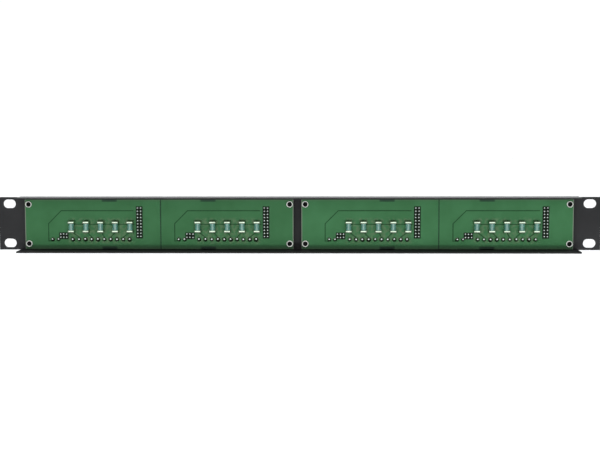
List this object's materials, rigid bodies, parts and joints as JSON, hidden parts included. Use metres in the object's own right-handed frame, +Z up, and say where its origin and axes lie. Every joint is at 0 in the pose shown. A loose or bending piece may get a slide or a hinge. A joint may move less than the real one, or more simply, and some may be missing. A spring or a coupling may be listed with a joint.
{
  "type": "rack patch panel",
  "caption": "Black one-unit rack patch panel with rear flanges and green boards, whose patch sockets, ribbon headers, slide switches and lamps face the front.",
  "frame": {"origin": "centre of the four rack slots, on the rear face of the ears that seats on the rack rails", "axes": "+X along the panel, to the right when seen from the wiring side; +Y out of the panel's front; +Z up"},
  "size_m": [0.4826, 0.028, 0.0436],
  "materials": {
    "panel_black": "fine satin powder coat, charcoal black",
    "board_green": "green solder mask over glass-fibre laminate, with darker traces",
    "standoff_tin": "bright tin plate",
    "screw_black": "black oxide",
    "socket_green": "moulded, fine texture",
    "contact_tin": "bright tin and solder",
    "header_black": "moulded, fine texture",
    "switch_black": "moulded phenolic",
    "frame_steel": "tinned steel",
    "slider_white": "moulded, smooth",
    "bridge_brass": "plain",
    "lamp_red": "clear tinted resin",
    "resistor_teal": "glossy lacquer",
    "cap_solder": "bright solder over plated caps"
  },
  "bodies": {
    "panel": {"front_panel": "panel_black", "left_board": "board_green", "right_board": "board_green", "left_standoffs": "standoff_tin", "right_standoffs": "standoff_tin", "left_screws": "screw_black", "right_screws": "screw_black", "patch_socket_1": "socket_green", "patch_contacts_1": "contact_tin", "ribbon_header_1": "header_black", "ribbon_pins_1": "contact_tin", "switch_base_1": "switch_black", "switch_frame_1": "frame_steel", "switch_terminals_1": "contact_tin", "lamp_lens_1": "lamp_red", "lamp_leads_1": "contact_tin", "resistor_bodies_1": "resistor_teal", "resistor_caps_1": "cap_solder", "patch_socket_2": "socket_green", "patch_contacts_2": "contact_tin", "ribbon_header_2": "header_black", "ribbon_pins_2": "contact_tin", "switch_base_2": "switch_black", "switch_frame_2": "frame_steel", "switch_terminals_2": "contact_tin", "lamp_lens_2": "lamp_red", "lamp_leads_2": "contact_tin", "resistor_bodies_2": "resistor_teal", "resistor_caps_2": "cap_solder", "patch_socket_3": "socket_green", "patch_contacts_3": "contact_tin", "ribbon_header_3": "header_black", "ribbon_pins_3": "contact_tin", "switch_base_3": "switch_black", "switch_frame_3": "frame_steel", "switch_terminals_3": "contact_tin", "lamp_lens_3": "lamp_red", "lamp_leads_3": "contact_tin", "resistor_bodies_3": "resistor_teal", "resistor_caps_3": "cap_solder", "patch_socket_4": "socket_green", "patch_contacts_4": "contact_tin", "ribbon_header_4": "header_black", "ribbon_pins_4": "contact_tin", "switch_base_4": "switch_black", "switch_frame_4": "frame_steel", "switch_terminals_4": "contact_tin", "lamp_lens_4": "lamp_red", "lamp_leads_4": "contact_tin", "resistor_bodies_4": "resistor_teal", "resistor_caps_4": "cap_solder"},
    "slider_1": {"switch_slider_1": "slider_white", "switch_bridges_1": "bridge_brass"},
    "slider_2": {"switch_slider_2": "slider_white", "switch_bridges_2": "bridge_brass"},
    "slider_3": {"switch_slider_3": "slider_white", "switch_bridges_3": "bridge_brass"},
    "slider_4": {"switch_slider_4": "slider_white", "switch_bridges_4": "bridge_brass"}
  },
  "joints": [
    {"name": "switch_1_slide", "type": "slide", "parent": "panel", "child": "slider_1", "axis": [1, 0, 0], "range_m": [0, 0.002]},
    {"name": "switch_2_slide", "type": "slide", "parent": "panel", "child": "slider_2", "axis": [1, 0, 0], "range_m": [0, 0.002]},
    {"name": "switch_3_slide", "type": "slide", "parent": "panel", "child": "slider_3", "axis": [1, 0, 0], "range_m": [0, 0.002]},
    {"name": "switch_4_slide", "type": "slide", "parent": "panel", "child": "slider_4", "axis": [1, 0, 0], "range_m": [0, 0.002]}
  ]
}
